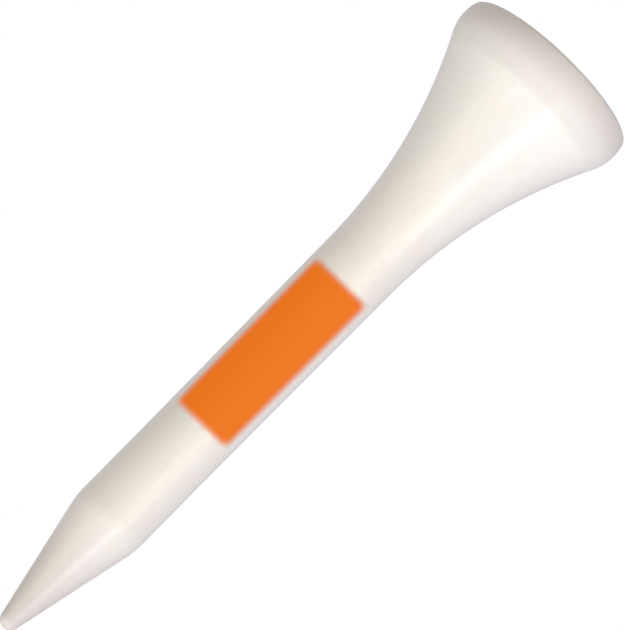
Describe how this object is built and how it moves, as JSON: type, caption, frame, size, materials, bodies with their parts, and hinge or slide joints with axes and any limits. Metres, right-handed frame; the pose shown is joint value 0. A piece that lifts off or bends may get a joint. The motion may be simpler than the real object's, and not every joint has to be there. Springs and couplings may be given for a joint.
{
  "type": "golf tee",
  "caption": "Turned wooden golf tee with a pointed shank, a flared head with a shallow ball cup, white gloss lacquer and a plain orange print block on the shank.",
  "frame": {"origin": "the very end of the point, on the tee's axis", "axes": "+Z along the axis from the point to the cup, -Y towards the middle of the printed block"},
  "size_m": [0.0142, 0.0142, 0.054],
  "materials": {
    "birch_wood": "turned and sanded",
    "white_lacquer": "satin gloss, slightly creamy white",
    "orange_ink": "flat printed ink"
  },
  "bodies": {
    "root": {"wood_core": "birch_wood", "white_lacquer": "white_lacquer", "orange_print": "orange_ink"}
  },
  "joints": []
}
